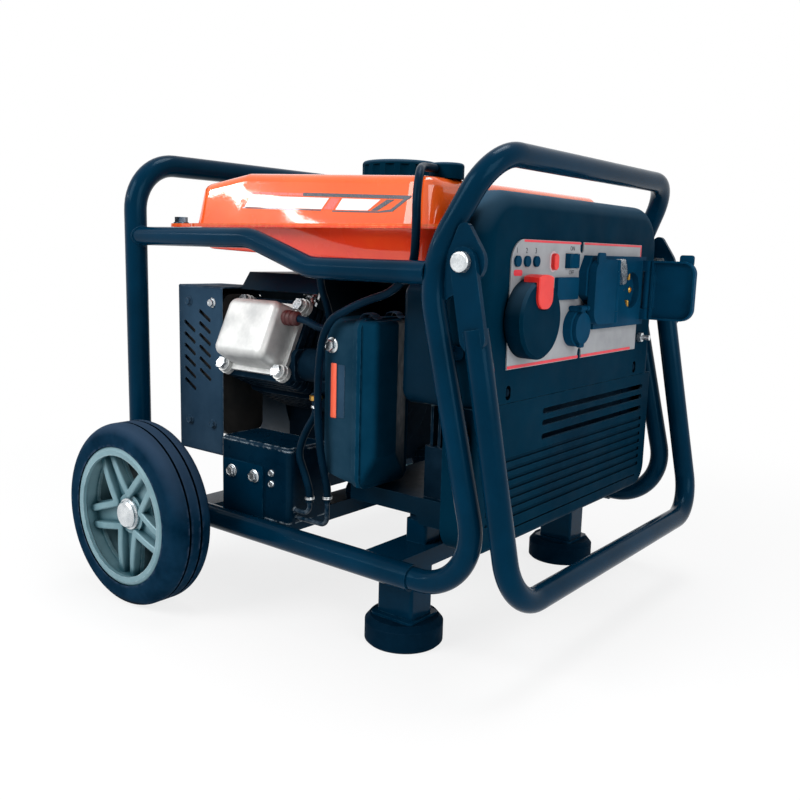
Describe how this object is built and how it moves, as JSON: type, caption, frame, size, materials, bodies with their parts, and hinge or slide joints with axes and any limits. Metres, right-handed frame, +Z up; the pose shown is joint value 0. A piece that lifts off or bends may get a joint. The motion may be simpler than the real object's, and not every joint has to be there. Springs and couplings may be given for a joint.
{
  "type": "portable generator",
  "caption": "Open-frame inverter generator with a bent tube frame, fuel tank on top, air-cooled engine, control panel, side wheels and a folding pull handle.",
  "frame": {"origin": "middle of the footprint box on the ground", "axes": "+X towards the control panel, +Y to the right side away from the cylinder, +Z up"},
  "size_m": [0.5514, 0.6162, 0.4947],
  "materials": {
    "frame_black": "satin black powder coat",
    "zinc_steel": "zinc plated",
    "rim_grey": "moulded grey",
    "tyre_black": "matt rubber",
    "rubber_black": "matt rubber",
    "tank_orange": "gloss enamel",
    "box_black": "fine moulded grain",
    "signal_red": "gloss",
    "inlay_grey": "printed film",
    "cast_alloy": "as cast, bead blasted",
    "sheet_black": "heat resistant matt",
    "rotor_iron": "machined",
    "filter_foam": "open foam"
  },
  "bodies": {
    "frame": {"air_element": "filter_foam", "airbox_base": "box_black", "airbox_cover": "box_black", "axle_nuts": "zinc_steel", "breaker": "box_black", "breather_hose": "rubber_black", "canister": "box_black", "canister_hose": "rubber_black", "carburettor": "cast_alloy", "control_housing": "box_black", "crankcase": "cast_alloy", "cross_beams": "frame_black", "cylinder": "cast_alloy", "cylinder_head": "cast_alloy", "earth_stud": "zinc_steel", "flange_bolts": "zinc_steel", "foot_pads": "rubber_black", "front_hoop": "frame_black", "fuel_hose": "rubber_black", "inverter": "cast_alloy", "inverter_tray": "sheet_black", "lamps": "box_black", "louver_panel": "box_black", "muffler": "sheet_black", "muffler_guard": "sheet_black", "outlet_body": "box_black", "panel_inlay": "inlay_grey", "pivot_bolts": "zinc_steel", "rear_frame": "frame_black", "recoil_housing": "sheet_black", "rubber_mounts": "rubber_black", "shroud": "sheet_black", "socket_block": "box_black", "socket_clip": "zinc_steel", "spark_plug": "rubber_black", "stator": "rotor_iron", "tank_lower": "tank_orange", "tank_rubbers": "rubber_black", "tank_upper": "tank_orange", "top_rails": "frame_black", "valve_cover": "cast_alloy", "vent_hose": "rubber_black", "vent_valve": "box_black"},
    "wheel_left": {"wheel_rim_left": "rim_grey", "tyre_left": "tyre_black"},
    "wheel_right": {"wheel_rim_right": "rim_grey", "tyre_right": "tyre_black"},
    "handle": {"folding_handle": "frame_black"},
    "dial": {"mode_dial": "box_black", "dial_pointer": "signal_red"},
    "rocker_switch": {"rocker": "box_black"},
    "button": {"push_button": "signal_red"},
    "lid_left": {"socket_lid_left": "box_black"},
    "lid_right": {"socket_lid_right": "box_black"},
    "outlet_flap": {"outlet_cap": "box_black"},
    "filler_cap": {"fuel_cap": "box_black"},
    "oil_plug": {"oil_cap": "box_black"},
    "pull_grip": {"recoil_grip": "box_black"},
    "crank": {"crankshaft": "zinc_steel", "rotor": "rotor_iron"}
  },
  "joints": [
    {"name": "wheel_left_spin", "type": "hinge", "parent": "frame", "child": "wheel_left", "pos_m": [-0.1715, -0.2826, 0.1], "axis": [0, 1, 0], "continuous": true},
    {"name": "wheel_right_spin", "type": "hinge", "parent": "frame", "child": "wheel_right", "pos_m": [-0.1715, 0.2826, 0.1], "axis": [0, 1, 0], "continuous": true},
    {"name": "handle_fold", "type": "hinge", "parent": "frame", "child": "handle", "pos_m": [0.201, 0, 0.3814], "axis": [0, -1, 0], "range_deg": [0, 110]},
    {"name": "dial_turn", "type": "hinge", "parent": "frame", "child": "dial", "pos_m": [0.206, -0.119, 0.33], "axis": [1, 0, 0], "range_deg": [-60, 60]},
    {"name": "rocker_tip", "type": "hinge", "parent": "frame", "child": "rocker_switch", "pos_m": [0.205, -0.0325, 0.384], "axis": [0, 0, 1], "range_deg": [-14, 0]},
    {"name": "button_press", "type": "slide", "parent": "frame", "child": "button", "axis": [-1, 0, 0], "range_m": [0, 0.0025], "stiffness_N_per_m": 600},
    {"name": "lid_left_open", "type": "hinge", "parent": "frame", "child": "lid_left", "pos_m": [0.2211, 0.042, 0.353], "axis": [0, 0, 1], "range_deg": [0, 120]},
    {"name": "lid_right_close", "type": "hinge", "parent": "frame", "child": "lid_right", "pos_m": [0.2211, 0.126, 0.353], "axis": [0, 0, 1], "range_deg": [-92, 0]},
    {"name": "outlet_flap_open", "type": "hinge", "parent": "frame", "child": "outlet_flap", "pos_m": [0.2194, -0.025, 0.337], "axis": [0, -1, 0], "range_deg": [0, 100]},
    {"name": "filler_cap_turn", "type": "hinge", "parent": "frame", "child": "filler_cap", "pos_m": [-0.029, -0.015, 0.48], "axis": [0, 0, 1], "range_deg": [0, 90]},
    {"name": "oil_plug_turn", "type": "hinge", "parent": "frame", "child": "oil_plug", "pos_m": [-0.05, -0.036, 0.15], "axis": [1, 0, 0], "range_deg": [0, 360]},
    {"name": "grip_pull", "type": "slide", "parent": "frame", "child": "pull_grip", "axis": [0, 0.9397, 0.342], "range_m": [0, 0.5], "stiffness_N_per_m": 30},
    {"name": "crank_turn", "type": "hinge", "parent": "frame", "child": "crank", "pos_m": [-0.11, 0.02, 0.208], "axis": [1, 0, 0], "continuous": true}
  ]
}
